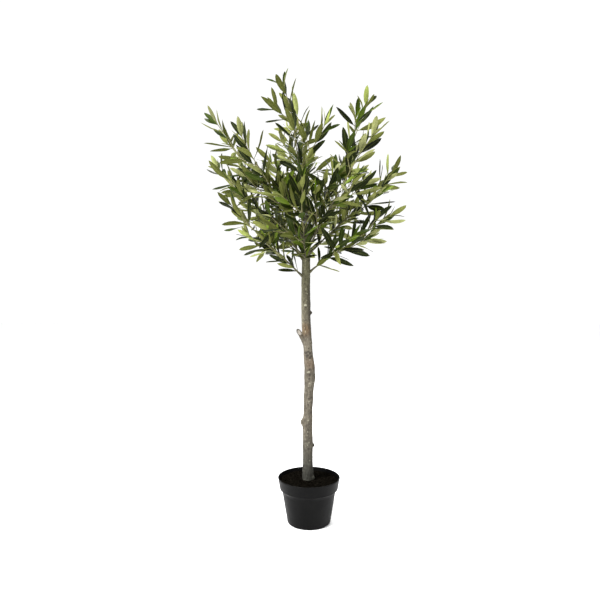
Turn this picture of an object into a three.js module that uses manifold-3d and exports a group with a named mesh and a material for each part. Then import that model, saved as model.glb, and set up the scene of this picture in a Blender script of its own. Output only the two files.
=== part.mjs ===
// A potted olive tree, grown as a small standard: a nursery pot of soil, a bare knotty trunk,
// and a round head of branches that carry leafy shoots. Olive leaves grow in opposite pairs,
// each pair a quarter turn round its twig from the pair before.
// Millimetres, +Z up. The origin is the centre of the pot's underside, and -Y is the front.
import * as THREE from 'three';
import { mergeVertices } from 'three/addons/utils/BufferGeometryUtils.js';
import Module from 'manifold-3d';

const wasm = await Module();
wasm.setup();

// ---- Driving dimensions ----

const seatGap = 0.3; // between pieces that rest on each other

// Pot
const potHeight = 121;
const rimRadius = 84;
const collarHeight = 29; // the upright band under the rim
const collarTaper = 5; // how much narrower the band is at its foot
const stepHeight = 5; // the sloping step under the band
const stepDepth = 6;
const footRadius = 59;
const footFillet = 5;
const potWall = 1.8;
const rimLip = 2.6;
const potFloor = 2.6;
const drainCount = 6;
const drainRadius = 5;
const drainCircle = 36; // the radius that the drainage holes stand on
const potSides = 30;

// Soil
const soilDrop = 9; // from the rim down to the soil at the wall
const soilMound = 3; // how much higher the soil stands at the trunk
const moundRadius = 28;

// Trunk: its rows, from the soil to the sawn head, are [share of the height, sideways, backwards, share of
// the radius].
const trunkHeight = 720; // above the soil
const trunkRadius = 13;
const buriedDepth = 70;
const trunkSides = 14;
const trunkRows = [
  [0, -3.2, 1.2, 1.07],
  [0.053, -2.7, 1.0, 1.01],
  [0.154, -3.0, 0.0, 1.0],
  [0.226, -3.2, -1.5, 0.97],
  [0.269, -2.7, -2.2, 0.92],
  [0.328, -0.5, -2.6, 0.91],
  [0.393, 1.4, -2.0, 0.99],
  [0.443, 0.0, -0.8, 0.93],
  [0.501, -2.9, 0.6, 0.9],
  [0.558, -6.3, 1.8, 0.94],
  [0.622, -8.2, 2.6, 0.92],
  [0.732, -8.6, 2.2, 0.86],
  [0.847, -7.2, 0.8, 0.82],
  [0.935, -5.8, 0.0, 0.81],
  [0.986, -5.2, 0.0, 0.74],
  [1, -5.2, 0.0, 0.57],
];
// Swellings where side branches were once taken off: [share of the height, azimuth, radius, how far it stands
// out]
const knotRows = [
  [0.131, 2, 4.5, 3.4],
  [0.224, 184, 8.5, 4.6],
  [0.31, 96, 7.0, 3.6],
  [0.397, 4, 10.0, 4.2],
  [0.472, 268, 6.0, 2.6],
  [0.631, 12, 4.5, 3.8],
  [0.694, 110, 6.5, 3.2],
];
// The sawn stub of a branch, half way up
const stubHeight = 0.521; // share of the trunk's
const stubAzimuth = 186;
const stubRise = 48;
const stubLength = 40; // from the trunk's middle
const stubRadius = 5.4;

// Branches: [distance below the trunk's head, azimuth, rise at the trunk, reach, climb, side shoots]
const branchRows = [
  [175, 187, 44, 92, 87, 2],
  [164, 350, 42, 106, 76, 2],
  [148, 266, 44, 96, 86, 1],
  [140, 88, 44, 102, 88, 1],
  [132, 138, 46, 112, 96, 2],
  [120, 173, 48, 146, 156, 2],
  [114, 10, 46, 146, 138, 2],
  [102, 308, 50, 132, 144, 2],
  [94, 226, 50, 132, 150, 2],
  [86, 50, 50, 136, 140, 2],
  [74, 192, 54, 150, 188, 2],
  [62, 342, 62, 104, 204, 2],
  [46, 112, 58, 106, 194, 2],
  [34, 250, 66, 80, 194, 2],
  [16, 205, 86, 12, 178, 1],
];
const branchRootRadius = 3.1;
const branchEndRadius = 1.8;
const branchSides = 6;
const branchSteps = 6;
const sideShootAt = [0.38, 0.72]; // shares of the branch's length
const forkAngle = 40; // between a branch and its side shoot

// Shoots: each is a twig with a smaller one forking off it.
const twigBase = 1.25; // half the width of a twig where it starts
const twigTip = 0.75;
const leafSeat = 2.2; // the height of a leaf's foot on its twig
const budLength = 3;
const endTwig = { bare: 16, spacing: 22, pairs: 7, lift: 0.02 };
const sideTwig = { bare: 16, spacing: 21, pairs: 6, lift: 0.06 };
const forkTwig = { bare: 14, spacing: 20, pairs: 3, lift: 0.05 };
const twigWander = 0.1; // how far a twig's direction strays at each pair
const twigClearance = 7;
const forkPitch = 48; // between a shoot's two twigs
const forkClearance = 5;

// Leaves
const leafLength = 66;
const leafWidth = 17.5;
const leafPitch = 40; // between a leaf and its twig
const leafClearance = 1.3; // between one leaf and the next
const leafTries = 40;
// A blade's outline, apart from its foot and tip: [share of the length, share of half the width]
const bladeStations = [
  [0.3, 0.88],
  [0.66, 0.84],
];

// ---- Materials ----

function finish(color, roughness) {
  return new THREE.MeshStandardMaterial({ color, roughness, metalness: 0 });
}

const materials = {
  pot: finish(0x262626, 0.55),
  soil: finish(0x17130f, 0.95),
  bark: finish(0x857b69, 0.85),
  leaf: finish(0x59652f, 0.5),
};

// ---- Small helpers ----

const up = new THREE.Vector3(0, 0, 1);

// Random numbers from 0 to 1 that are the same on every run.
function seeded(seed) {
  let state = Math.imul(seed + 1, 2654435761) >>> 0;
  return () => {
    state = (Math.imul(state, 1664525) + 1013904223) >>> 0;
    return state / 2 ** 32;
  };
}

// A random number of the given mean and the most it may be away from it.
function about(random, mean, spread) {
  return mean + spread * (2 * random() - 1);
}

// The level direction at an azimuth: 0 is +X and 90 is +Y.
function outward(azimuth) {
  const a = THREE.MathUtils.degToRad(azimuth);
  return new THREE.Vector3(Math.cos(a), Math.sin(a), 0);
}

// The direction at an azimuth that climbs at an angle above the level.
function climbing(azimuth, rise) {
  const a = THREE.MathUtils.degToRad(rise);
  return outward(azimuth).multiplyScalar(Math.cos(a)).addScaledVector(up, Math.sin(a));
}

function turned(vector, axis, degrees) {
  return vector.clone().applyAxisAngle(axis, THREE.MathUtils.degToRad(degrees));
}

// A three.js geometry as a solid.
function solidOf(geometry) {
  const bare = geometry.clone();
  bare.deleteAttribute('normal');
  bare.deleteAttribute('uv');
  const merged = mergeVertices(bare, 1e-3);
  return new wasm.Manifold(new wasm.Mesh({
    numProp: 3,
    vertProperties: new Float32Array(merged.attributes.position.array),
    triVerts: new Uint32Array(merged.index.array),
  }));
}

// A solid as a three.js geometry.
function geometryOf(solid) {
  const mesh = solid.getMesh();
  return new THREE.BufferGeometry()
    .setAttribute('position', new THREE.BufferAttribute(mesh.vertProperties, 3))
    .setIndex(new THREE.BufferAttribute(mesh.triVerts, 1));
}

function geometryFrom(points, triangles) {
  return new THREE.BufferGeometry()
    .setAttribute('position', new THREE.Float32BufferAttribute(points.flatMap((p) => p.toArray()), 3))
    .setIndex(triangles.flat());
}

// A ring of corners round a centre, in the plane of u and v, anticlockwise seen from u cross v.
function ringOf(centre, u, v, radius, sides, firstAngle = 0) {
  return Array.from({ length: sides }, (_, i) => {
    const a = firstAngle + (2 * Math.PI * i) / sides;
    return centre.clone().addScaledVector(u, radius * Math.cos(a)).addScaledVector(v, radius * Math.sin(a));
  });
}

// The closed solid whose skin runs through a list of rings, all with the same number of corners.
function loft(rings) {
  const sides = rings[0].length;
  const last = (rings.length - 1) * sides;
  const triangles = [];
  for (let i = 1; i < sides - 1; i++) {
    triangles.push([0, i + 1, i], [last, last + i, last + i + 1]);
  }
  for (let r = 0; r < rings.length - 1; r++) {
    for (let i = 0; i < sides; i++) {
      const low = r * sides + i;
      const lowNext = r * sides + ((i + 1) % sides);
      triangles.push([low, lowNext, lowNext + sides], [low, lowNext + sides, low + sides]);
    }
  }
  return solidOf(geometryFrom(rings.flat(), triangles));
}

// ---- Pot and soil ----

const collarFoot = potHeight - collarHeight;
const wallTop = collarFoot - stepHeight;
const collarFootRadius = rimRadius - collarTaper;
const wallTopRadius = collarFootRadius - stepDepth;
const soilTop = potHeight - soilDrop;

// The pot's inner radius at a height above its floor.
function innerRadius(z) {
  const line = (z0, r0, z1, r1) => r0 + ((r1 - r0) * (z - z0)) / (z1 - z0);
  if (z < wallTop) return line(0, footRadius, wallTop, wallTopRadius) - potWall;
  if (z < collarFoot) return line(wallTop, wallTopRadius, collarFoot, collarFootRadius) - potWall;
  return line(collarFoot, collarFootRadius, potHeight, rimRadius) - rimLip;
}

function potSolid() {
  const profile = [new THREE.Vector2(0, 0)];
  for (const a of [-90, -45, 0]) {
    const turn = THREE.MathUtils.degToRad(a);
    profile.push(new THREE.Vector2(
      footRadius - footFillet + footFillet * Math.cos(turn),
      footFillet + footFillet * Math.sin(turn),
    ));
  }
  profile.push(
    new THREE.Vector2(wallTopRadius, wallTop),
    new THREE.Vector2(collarFootRadius, collarFoot),
    new THREE.Vector2(rimRadius, potHeight),
    new THREE.Vector2(innerRadius(potHeight), potHeight),
    new THREE.Vector2(innerRadius(collarFoot), collarFoot),
    new THREE.Vector2(innerRadius(wallTop), wallTop),
    new THREE.Vector2(innerRadius(footFillet), footFillet),
    new THREE.Vector2(innerRadius(footFillet) - footFillet + potFloor, potFloor),
    new THREE.Vector2(0, potFloor),
  );
  let pot = solidOf(new THREE.LatheGeometry(profile, potSides).rotateX(Math.PI / 2));
  for (let i = 0; i < drainCount; i++) {
    const at = outward((360 * (i + 0.5)) / drainCount).multiplyScalar(drainCircle);
    const drain = new THREE.CylinderGeometry(drainRadius, drainRadius, 4 * potFloor, 10);
    pot = pot.subtract(solidOf(drain.rotateX(Math.PI / 2).translate(at.x, at.y, 0)));
  }
  return pot;
}

function soilSolid(trunkSeat) {
  const bottom = potFloor + seatGap;
  // The gap to the wall is measured across the flat sides of the pot.
  const radiusAt = (z) => (innerRadius(z) - 2 * seatGap);
  const profile = [
    new THREE.Vector2(0, bottom),
    new THREE.Vector2(radiusAt(footFillet) - footFillet, bottom),
    new THREE.Vector2(radiusAt(footFillet), footFillet + seatGap),
    new THREE.Vector2(radiusAt(wallTop), wallTop),
    new THREE.Vector2(radiusAt(collarFoot), collarFoot + seatGap),
    new THREE.Vector2(radiusAt(soilTop), soilTop),
    new THREE.Vector2(moundRadius, soilTop + soilMound),
    new THREE.Vector2(0, soilTop + soilMound),
  ];
  return solidOf(new THREE.LatheGeometry(profile, potSides).rotateX(Math.PI / 2)).subtract(trunkSeat);
}

// ---- Trunk ----

const x = new THREE.Vector3(1, 0, 0);
const y = new THREE.Vector3(0, 1, 0);

// The trunk's middle and radius at a share of its height, by straight lines between its rows.
function trunkAt(share) {
  const next = Math.max(1, trunkRows.findIndex((row) => row[0] >= share));
  const [s0, x0, y0, r0] = trunkRows[next - 1];
  const [s1, x1, y1, r1] = trunkRows[next];
  const mix = (a, b) => THREE.MathUtils.mapLinear(share, s0, s1, a, b);
  const middle = new THREE.Vector3(mix(x0, x1), mix(y0, y1), soilTop + share * trunkHeight);
  return { middle, radius: trunkRadius * mix(r0, r1) };
}

// The plain trunk, or the space it needs when margin is added all round.
function trunkStem(margin) {
  const rings = trunkRows.map(([share]) => {
    const { middle, radius } = trunkAt(share);
    return ringOf(middle, x, y, radius + margin, trunkSides);
  });
  const foot = rings[0].map((point) => point.clone().setZ(soilTop - buriedDepth - margin));
  rings[rings.length - 1].forEach((point) => point.setZ(point.z + margin));
  return loft([foot, ...rings]);
}

function trunkSolid() {
  let trunk = trunkStem(0);
  for (const [share, azimuth, knotRadius, proud] of knotRows) {
    const { middle, radius } = trunkAt(share);
    const at = middle.addScaledVector(outward(azimuth), radius + proud - knotRadius);
    const knot = new THREE.SphereGeometry(knotRadius, 8, 6).scale(1, 1, 1.5).translate(at.x, at.y, at.z);
    trunk = trunk.add(solidOf(knot));
  }
  const along = climbing(stubAzimuth, stubRise);
  const across = outward(stubAzimuth + 90);
  const above = across.clone().cross(along);
  const rings = [[0, 1.25], [0.55, 1.1], [1, 1]].map(([share, widening]) => {
    const centre = trunkAt(stubHeight).middle.addScaledVector(along, share * stubLength);
    return ringOf(centre, above, across, stubRadius * widening, 10);
  });
  return trunk.add(loft(rings));
}

// ---- Branches ----

function branchCurve([belowHead, azimuth, rise, reach, climb]) {
  const root = trunkAt(1 - belowHead / trunkHeight).middle;
  const end = root.clone().addScaledVector(outward(azimuth), reach).addScaledVector(up, climb);
  const middle = root.clone().addScaledVector(climbing(azimuth, rise), root.distanceTo(end) / 2);
  return new THREE.QuadraticBezierCurve3(root, middle, end);
}

// A branch along its curve, or the space it needs when margin is added.
function branchStem(curve, margin) {
  const frames = curve.computeFrenetFrames(branchSteps, false);
  const rings = [];
  for (let i = 0; i <= branchSteps; i++) {
    const radius = THREE.MathUtils.lerp(branchRootRadius, branchEndRadius, i / branchSteps) + margin;
    const centre = curve.getPointAt(i / branchSteps);
    rings.push(ringOf(centre, frames.normals[i], frames.binormals[i], radius, branchSides));
  }
  return loft(rings);
}

// ---- Shoots ----

// A twig: a start, then a joint for each pair of leaves. Every joint has its place, the way the twig runs
// there, and a direction across it that is carried along without twisting. growth holds what grows on each
// side of each joint: the outline of a leaf, or a smaller twig.
function makeTwig(label, start, direction, firstAcross, { bare, spacing, pairs, lift }, random) {
  let along = direction.clone().normalize();
  let across = firstAcross.clone().addScaledVector(along, -firstAcross.dot(along)).normalize();
  const at = start.clone();
  const joints = [{ at: at.clone(), along, across, half: twigBase }];
  for (let i = 0; i < pairs; i++) {
    at.addScaledVector(along, i === 0 ? bare : about(random, spacing, 4));
    const stray = [twigWander, twigWander, twigWander / 2].map((most) => about(random, 0, most));
    along = along.clone().add(new THREE.Vector3(...stray)).addScaledVector(up, lift).normalize();
    across = across.clone().addScaledVector(along, -across.dot(along)).normalize();
    const half = THREE.MathUtils.lerp(twigBase, twigTip, (i + 1) / pairs);
    joints.push({ at: at.clone(), along, across, half });
  }
  return { label, joints, growth: joints.map(() => []) };
}

// The four corners of a twig at a joint, moved along it by a distance.
function twigCorners(joint, shift) {
  const other = joint.along.clone().cross(joint.across);
  const centre = joint.at.clone().addScaledVector(joint.along, shift);
  return ringOf(centre, joint.across, other, joint.half * Math.SQRT2, 4, -Math.PI / 4);
}

// A twig without what grows on it. Each joint has two rings, and a leaf's foot fills one side between them.
function bareTwig({ joints }) {
  return loft(joints.flatMap((joint, i) =>
    (i === 0 ? [twigCorners(joint, 0)] : [twigCorners(joint, 0), twigCorners(joint, leafSeat)])));
}

// The direction that a side of a joint faces, and the middle of that side.
function facingOf(joint, side) {
  return turned(joint.across, joint.along, 90 * side);
}

function footOf(joint, side) {
  const facing = facingOf(joint, side);
  return joint.at.clone().addScaledVector(joint.along, leafSeat / 2).addScaledVector(facing, joint.half);
}

// Draws how one leaf stands on a side of its joint, and returns the outline of its blade from its left edge
// at the foot, round the tip, to its right edge. Effort, from 0 to 1, is how far it may turn to find room.
function bladeOutline(joint, side, size, pitch, effort, random) {
  const swing = about(random, 0, 18 + 26 * effort);
  const roll = about(random, 0, 34 + 10 * effort);
  const length = leafLength * size * about(random, 1, 0.14) * (1 - 0.25 * effort);
  const halfWidth = 0.5 * leafWidth * (0.4 + 0.6 * size) * about(random, 1, 0.12);
  const bend = about(random, 0.05, 0.09);
  const level = joint.along.clone().cross(facingOf(joint, side));
  const leaning = turned(joint.along, level, about(random, pitch, 13 + 18 * effort));
  const ahead = turned(leaning, joint.along, swing);
  const right = turned(turned(level, joint.along, swing), ahead, roll);
  const upper = ahead.clone().cross(right);
  const rib = (share) => footOf(joint, side)
    .addScaledVector(ahead, length * share)
    .addScaledVector(upper, -bend * length * share * share);
  const edge = (hand) =>
    bladeStations.map(([share, width]) => rib(share).addScaledVector(right, hand * halfWidth * width));
  return [...edge(-1), rib(1), ...edge(1).reverse()];
}

// The skin of one blade as corner numbers: foot holds its four corners on the twig, lower left, lower right,
// upper right and upper left, and edge the numbers of its outline.
function bladeTriangles([lowLeft, lowRight, highRight, highLeft], edge) {
  const last = edge.length - 1;
  const triangles = [
    [lowLeft, edge[0], highLeft],
    [lowRight, highRight, edge[last]],
    [highLeft, edge[last], highRight],
    [lowLeft, lowRight, edge[last]],
  ];
  for (let i = 0; i < last; i++) {
    triangles.push([highLeft, edge[i], edge[i + 1]], [lowLeft, edge[i + 1], edge[i]]);
  }
  return triangles;
}

// One leaf as a solid of its own, to find whether it has room.
function leafSolid(joint, side, outline) {
  const low = twigCorners(joint, 0);
  const high = twigCorners(joint, leafSeat);
  const next = (side + 1) % 4;
  const points = [low[side], low[next], high[next], high[side], ...outline];
  const edge = outline.map((_, i) => i + 4);
  return solidOf(geometryFrom(points, [[0, 2, 1], [0, 3, 2], ...bladeTriangles([0, 1, 2, 3], edge)]));
}

// A shoot in one skin: a square twig whose sides run out into leaf blades and smaller twigs at its joints,
// and which ends in a bud.
function shootSolid(twig) {
  const points = [];
  const triangles = [];
  const addPoints = (list) => list.map((point) => points.push(point) - 1);
  const addQuad = ([a, b, c, d]) => triangles.push([a, b, c], [a, c, d]);
  const addTwig = ({ joints, growth }, foot) => {
    let ring = foot;
    const side = (low, high, i) => [low[i], low[(i + 1) % 4], high[(i + 1) % 4], high[i]];
    for (let j = 1; j < joints.length; j++) {
      const low = addPoints(twigCorners(joints[j], 0));
      const high = addPoints(twigCorners(joints[j], leafSeat));
      for (let i = 0; i < 4; i++) {
        addQuad(side(ring, low, i));
        const grown = growth[j][i];
        if (!grown) addQuad(side(low, high, i));
        else if (grown.joints) addTwig(grown, side(low, high, i));
        else triangles.push(...bladeTriangles(side(low, high, i), addPoints(grown)));
      }
      ring = high;
    }
    const end = joints[joints.length - 1];
    const [bud] = addPoints([end.at.clone().addScaledVector(end.along, leafSeat + budLength)]);
    for (let i = 0; i < 4; i++) triangles.push([ring[i], ring[(i + 1) % 4], bud]);
  };
  const start = addPoints(twigCorners(twig.joints[0], 0));
  addQuad([...start].reverse());
  addTwig(twig, start);
  return solidOf(geometryFrom(points, triangles));
}

// What already stands in the crown, so that what grows next keeps clear of it.
const standing = [];

function boxOf(solid) {
  const { min, max } = solid.boundingBox();
  return new THREE.Box3(new THREE.Vector3(...min), new THREE.Vector3(...max));
}

function stand(solid, owner) {
  standing.push({ solid, owner, box: boxOf(solid) });
}

function hasRoom(solid, clearance, owner) {
  const space = boxOf(solid).expandByScalar(clearance);
  return !standing
    .filter((other) => other.owner !== owner && other.box.intersectsBox(space))
    .some((other) => solid.minGap(other.solid, clearance) < clearance);
}

// A side shoot's twig: the fork is turned round its branch until the twig has room.
function sideShootTwig(label, curve, share, side, branch, random) {
  const start = curve.getPointAt(share);
  const along = curve.getTangentAt(share);
  const level = along.clone().cross(up).normalize();
  const bend = turned(along, level.clone().cross(along), forkAngle * side);
  for (let turn = 0; ; turn += 15) {
    const direction = turned(bend, along, turn * (turn % 30 ? 1 : -1) - 12 * side);
    const twig = makeTwig(label, start, direction, level, sideTwig, random);
    if (turn > 165 || hasRoom(bareTwig(twig), twigClearance, branch)) return twig;
  }
}

// Lets a smaller twig fork off a shoot, at the first of its joints and sides where it has room.
function growFork(twig, random) {
  for (const j of [3, 2, 4]) {
    for (const side of j % 2 ? [0, 2] : [1, 3]) {
      const joint = twig.joints[j];
      const direction = turned(joint.along, joint.along.clone().cross(facingOf(joint, side)), forkPitch);
      const across = joint.along.clone().negate();
      const start = footOf(joint, side);
      const fork = makeTwig(`fork of ${twig.label}`, start, direction, across, forkTwig, random);
      const solid = bareTwig(fork);
      if (hasRoom(solid, forkClearance, twig.label)) {
        stand(solid, fork.label);
        twig.growth[j][side] = fork;
        return;
      }
    }
  }
}

// Grows the leaves of a twig in turn. They are smaller and steeper towards the bud, and one that finds no
// room after a number of tries isn't grown.
function growLeaves({ label, joints, growth }, random) {
  const pairs = joints.length - 1;
  for (let j = 1; j <= pairs; j++) {
    const age = (pairs - j) / (pairs - 1);
    const size = 0.72 + 0.28 * Math.min(1, 2 * age) - (j === 1 ? 0.1 : 0);
    const pitch = leafPitch * (0.62 + 0.38 * Math.min(1, 2 * age));
    for (const side of j % 2 ? [0, 2] : [1, 3]) {
      if (growth[j][side]) {
        growLeaves(growth[j][side], random);
        continue;
      }
      for (let attempt = 0; attempt < leafTries; attempt++) {
        const outline = bladeOutline(joints[j], side, size, pitch, attempt / leafTries, random);
        const solid = leafSolid(joints[j], side, outline);
        if (hasRoom(solid, leafClearance, label)) {
          stand(solid, `leaf of ${label}`);
          growth[j][side] = outline;
          break;
        }
        solid.delete();
      }
    }
  }
}

// ---- The tree ----

const tree = new THREE.Group();

function addPiece(name, solid, material) {
  const mesh = new THREE.Mesh(geometryOf(solid), materials[material]);
  mesh.name = name;
  tree.add(mesh);
}

const trunkSeat = trunkStem(seatGap);
addPiece('pot', potSolid(), 'pot');
addPiece('soil', soilSolid(trunkSeat), 'soil');
addPiece('trunk', trunkSolid(), 'bark');
stand(trunkSeat, 'trunk');

// First all the wood, so that the shoots know where the branches run.
const branches = branchRows.map((row, i) => {
  const name = `branch_${String(i + 1).padStart(2, '0')}`;
  const curve = branchCurve(row);
  const solid = branchStem(curve, 0).subtract(trunkSeat);
  addPiece(name, solid, 'bark');
  stand(solid, name);
  return { name, curve, sideShoots: row[5], seat: branchStem(curve, seatGap) };
});

// Then the bare twigs, and last their leaves.
const shoots = branches.flatMap(({ name, curve, sideShoots, seat }, i) => {
  const random = seeded(i);
  const number = name.slice(-2);
  const along = curve.getTangentAt(1);
  const start = curve.getPointAt(1).addScaledVector(along, seatGap);
  const across = along.clone().cross(up);
  const endShoot = makeTwig(`shoot_${number}a`, start, along, across, endTwig, random);
  stand(bareTwig(endShoot), endShoot.label);
  const found = [{ twig: endShoot, seat: null, random }];
  for (let s = 0; s < sideShoots; s++) {
    const side = (s + i) % 2 ? 1 : -1;
    const twig = sideShootTwig(`shoot_${number}${'bc'[s]}`, curve, sideShootAt[1 - s], side, name, random);
    stand(bareTwig(twig), twig.label);
    found.push({ twig, seat, random });
  }
  return found;
});
for (const { twig, random } of shoots) growFork(twig, random);

for (const { twig, seat, random } of shoots) {
  growLeaves(twig, random);
  const whole = shootSolid(twig);
  addPiece(twig.label, seat ? whole.subtract(seat) : whole, 'leaf');
}

export default tree;
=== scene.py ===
# A potted olive tree: every leaf, twig, branch and knot stands where the CAD tree has it.
import math
import bmesh
import bpy
import numpy as np
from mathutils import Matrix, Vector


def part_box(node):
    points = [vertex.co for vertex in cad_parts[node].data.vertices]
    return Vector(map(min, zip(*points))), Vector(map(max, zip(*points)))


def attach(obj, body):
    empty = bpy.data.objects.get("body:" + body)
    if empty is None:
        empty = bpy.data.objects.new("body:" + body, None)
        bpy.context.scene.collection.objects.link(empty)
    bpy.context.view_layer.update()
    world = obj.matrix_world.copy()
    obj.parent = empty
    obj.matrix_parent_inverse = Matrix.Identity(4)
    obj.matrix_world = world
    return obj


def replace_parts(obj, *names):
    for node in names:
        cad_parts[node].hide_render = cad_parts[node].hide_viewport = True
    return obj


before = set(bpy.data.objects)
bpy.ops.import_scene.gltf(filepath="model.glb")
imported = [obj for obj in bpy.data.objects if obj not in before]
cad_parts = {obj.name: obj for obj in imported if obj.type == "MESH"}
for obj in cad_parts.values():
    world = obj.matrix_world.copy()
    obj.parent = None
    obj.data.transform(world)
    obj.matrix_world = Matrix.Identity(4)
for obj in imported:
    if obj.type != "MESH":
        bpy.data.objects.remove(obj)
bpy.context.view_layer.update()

print("frame loaded:", len(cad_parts), "nodes")

camera = {
    "x": -0.0242,
    "distance": 1.379,  # in front of the trunk
    "height": 0.601,
    "lens": 30.42,
    "sensor": 36.0,
}


# A new object in the scene.
def addObject(name, data):
    made = bpy.data.objects.new(name, data)
    bpy.context.scene.collection.objects.link(made)
    return made


# The camera stands level in front of the tree and looks along +Y.
def addCamera():
    data = bpy.data.cameras.new("camera")
    data.lens = camera["lens"]
    data.sensor_width = camera["sensor"]
    data.sensor_fit = "HORIZONTAL"
    data.clip_end = 100
    eye = addObject("camera", data)
    eye.location = (camera["x"], -camera["distance"], camera["height"])
    eye.rotation_euler = (math.pi / 2, 0, 0)
    bpy.context.scene.camera = eye


addCamera()


# The points of a mesh, as rows of x, y and z.
def pointsOf(mesh):
    places = np.empty(len(mesh.vertices) * 3)
    mesh.vertices.foreach_get("co", places)
    return places.reshape(-1, 3)


# For each corner of a mesh's faces, the number of its point.
def cornersOf(mesh):
    corners = np.empty(len(mesh.loops), np.int32)
    mesh.loops.foreach_get("vertex_index", corners)
    return corners


# A CAD node's corners with the doubles merged, and its triangles as numbers of those corners.
def merged(node):
    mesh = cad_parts[node].data
    points, number = np.unique(np.round(pointsOf(mesh), 6), axis=0, return_inverse=True)
    return points, number.reshape(-1)[cornersOf(mesh)].reshape(-1, 3)


# Vectors divided by their own lengths.
def unit(vectors):
    return vectors / np.linalg.norm(vectors, axis=-1, keepdims=True)


# A mesh from an array of points and arrays of faces, one array for each number of corners.
def newMesh(name, points, *faceSets):
    mesh = bpy.data.meshes.new(name)
    mesh.vertices.add(len(points))
    mesh.vertices.foreach_set("co", np.asarray(points, float).ravel())
    corners = np.concatenate([np.asarray(faces).ravel() for faces in faceSets])
    sizes = np.concatenate([np.full(len(faces), np.shape(faces)[1]) for faces in faceSets])
    mesh.loops.add(len(corners))
    mesh.loops.foreach_set("vertex_index", corners.astype(np.int32))
    mesh.polygons.add(len(sizes))
    mesh.polygons.foreach_set("loop_start", (np.cumsum(sizes) - sizes).astype(np.int32))
    mesh.update(calc_edges=True)
    mesh.validate()
    mesh.shade_smooth()
    return mesh


# A finished piece: it wears its materials, rides on the root body and stands for CAD nodes.
def addPiece(name, mesh, materials, slot, *nodes):
    piece = addObject(name, mesh)
    for material in materials:
        mesh.materials.append(material)
    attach(piece, "root")
    if nodes:
        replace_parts(piece, *nodes)
    return piece


# One number for each point of a mesh, which its material reads by name.
def addNumbers(mesh, name, values):
    mesh.attributes.new(name, "FLOAT", "POINT").data.foreach_set("value", values)


# The angles of the points of a ring: equal shares of a full turn, the first of them turned by a start.
def ringTurns(sides, start=0):
    return 2 * math.pi * (np.arange(sides) + start) / sides


# The direction at each angle, as x and y: its cosine and sine.
def directions(turn):
    return np.stack([np.cos(turn), np.sin(turn)], -1)


# A closed surface from rings of points: quads join each point to its neighbours on its own ring and the next,
# and a fan of triangles joins the first and the last ring to a point of its own.
def ringMesh(name, rings, first, last):
    rows, sides = rings.shape[:2]
    count = rows * sides
    side = np.arange(sides)
    after = (side + 1) % sides
    row = sides * np.arange(rows - 1)[:, None]
    quads = np.stack([row + side, row + after, row + after + sides, row + side + sides], -1).reshape(-1, 4)
    start = np.stack([after, side, np.full(sides, count)], -1)
    end = np.stack([count - sides + side, count - sides + after, np.full(sides, count + 1)], -1)
    return newMesh(name, np.vstack([rings.reshape(-1, 3), first, last]), quads, start, end)


# A tube with blunt ends: at each centre stands a ring, square to the path, whose radius there is multiplied by
# a bulge for each side. The ends stand out by half a radius.
def tubeMesh(name, centres, radii, bulge):
    along = unit(np.gradient(centres, axis=0))
    across = np.cross(along, (0.31, -0.87, 0.38))  # a direction that no branch takes
    across = unit(across - (across * along).sum(1, keepdims=True) * along)
    other = np.cross(along, across)
    flat = directions(ringTurns(bulge.shape[1]))
    ring = across[:, None] * flat[:, :1] + other[:, None] * flat[:, 1:]
    rings = centres[:, None] + ring * (radii[:, None] * bulge)[..., None]
    ends = centres[0] - along[0] * radii[0] * 0.5, centres[-1] + along[-1] * radii[-1] * 0.5
    return ringMesh(name, rings, *ends)


# Smooth bumps, mostly from -1 to 1: the sum of nine sine waves in random directions, of about that wavelength,
# divided by half their number.
def smoothNoise(points, size, seed):
    random = np.random.default_rng(seed)
    count = 9
    waves = unit(random.normal(size=(count, 3))) * random.uniform(0.7, 1.6, (count, 1)) * 2 * math.pi / size
    phases = random.uniform(0, 2 * math.pi, count)
    return np.sin(np.tensordot(points, waves.T, 1) + phases).sum(-1) / (count / 2)


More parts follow.
